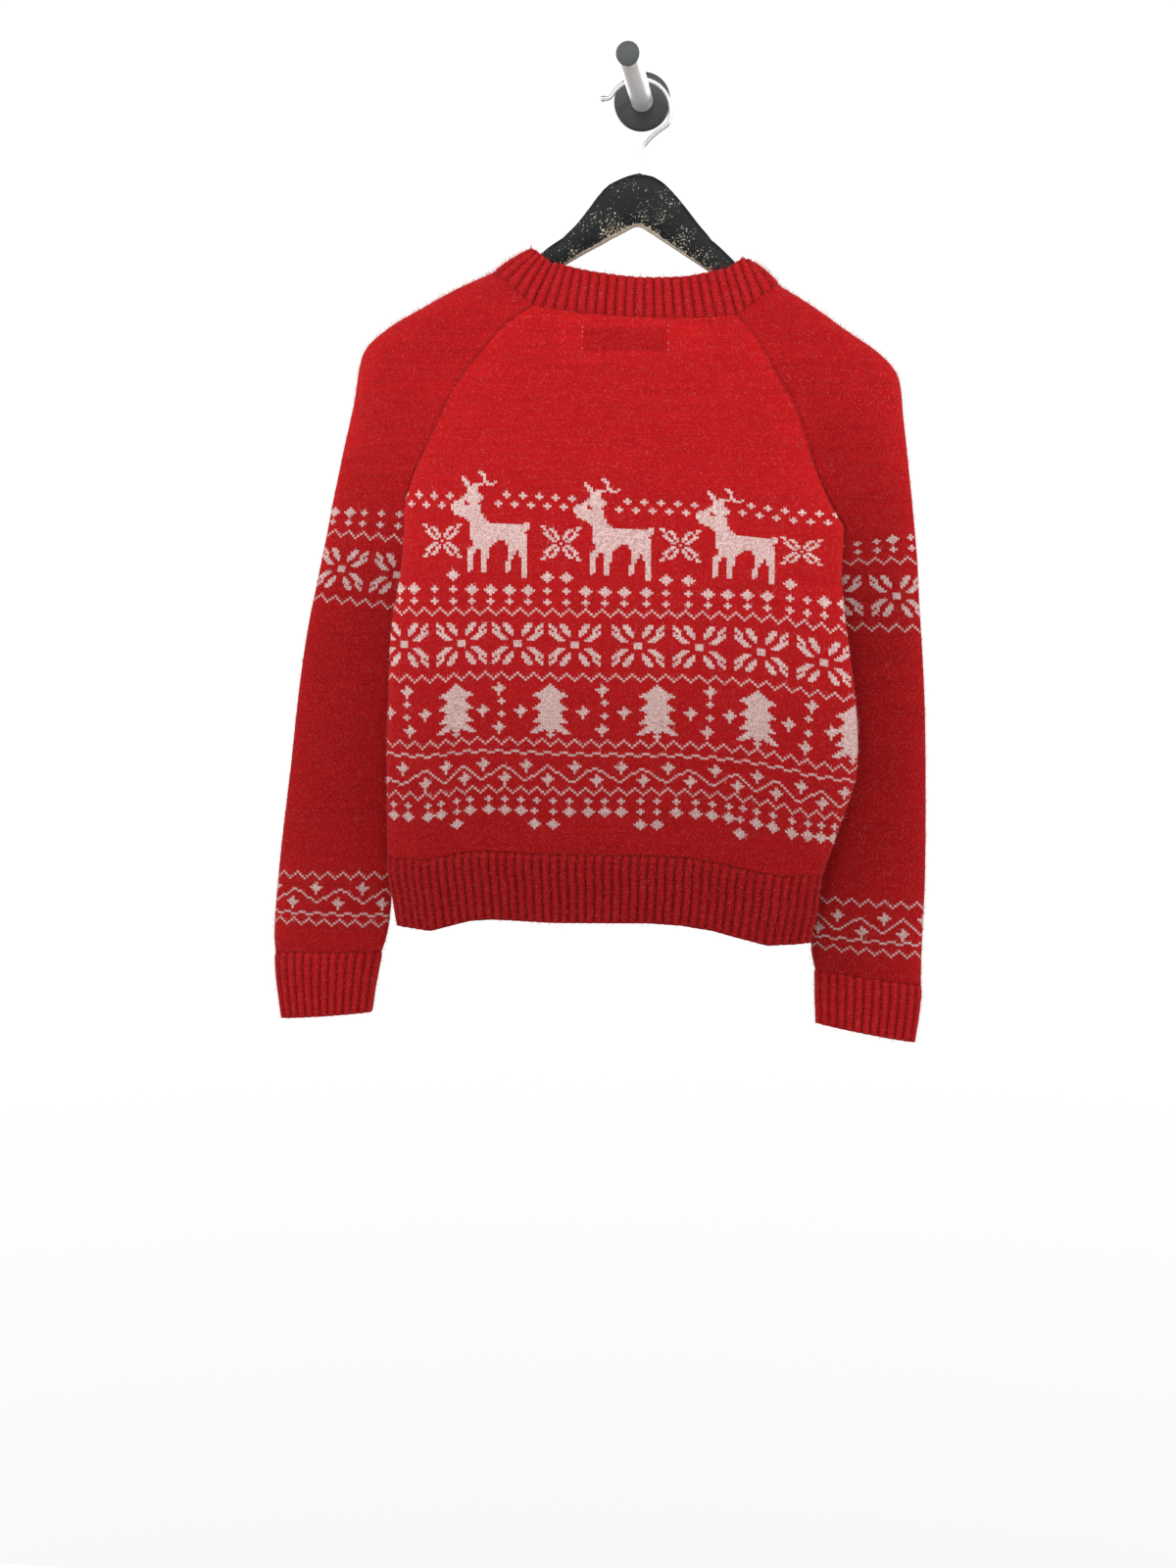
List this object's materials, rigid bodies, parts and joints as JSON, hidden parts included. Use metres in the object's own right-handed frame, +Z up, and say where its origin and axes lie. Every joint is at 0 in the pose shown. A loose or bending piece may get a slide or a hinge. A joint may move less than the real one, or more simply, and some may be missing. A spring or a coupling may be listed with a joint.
{
  "type": "christmas sweater on a hanger",
  "caption": "Red knitted raglan jumper with ribbed collar, cuffs and hem, hanging open from a painted wooden hanger hooked on a round wall peg.",
  "frame": {"origin": "centre of the wall plate's back face, which lies on the wall", "axes": "+Y into the wall, so the room and the jumper are on the -Y side; +Z up; +X to the right seen from the room"},
  "size_m": [0.5885, 0.128, 0.8425],
  "materials": {
    "red_knit": "felted red wool-type jacquard knit with off-white motifs",
    "red_rib": "felted red one-by-one rib",
    "label_cloth": "plain woven label, left bare",
    "black_painted_wood": "black paint chipped to bare wood at the edges",
    "chrome_wire": "bright plated wire",
    "black_metal": "satin black paint",
    "satin_steel": "satin steel tube",
    "black_plastic": "matte black end cap"
  },
  "bodies": {
    "root": {"back_panel": "red_knit", "front_panel": "red_knit", "left_sleeve": "red_knit", "right_sleeve": "red_knit", "neckband": "red_rib", "hem_rib_back": "red_rib", "hem_rib_front": "red_rib", "left_cuff": "red_rib", "right_cuff": "red_rib", "neck_label": "label_cloth", "hanger": "black_painted_wood", "hanger_hook": "chrome_wire", "peg_plate": "black_metal", "peg_tube": "satin_steel", "peg_cap": "black_plastic"}
  },
  "joints": []
}
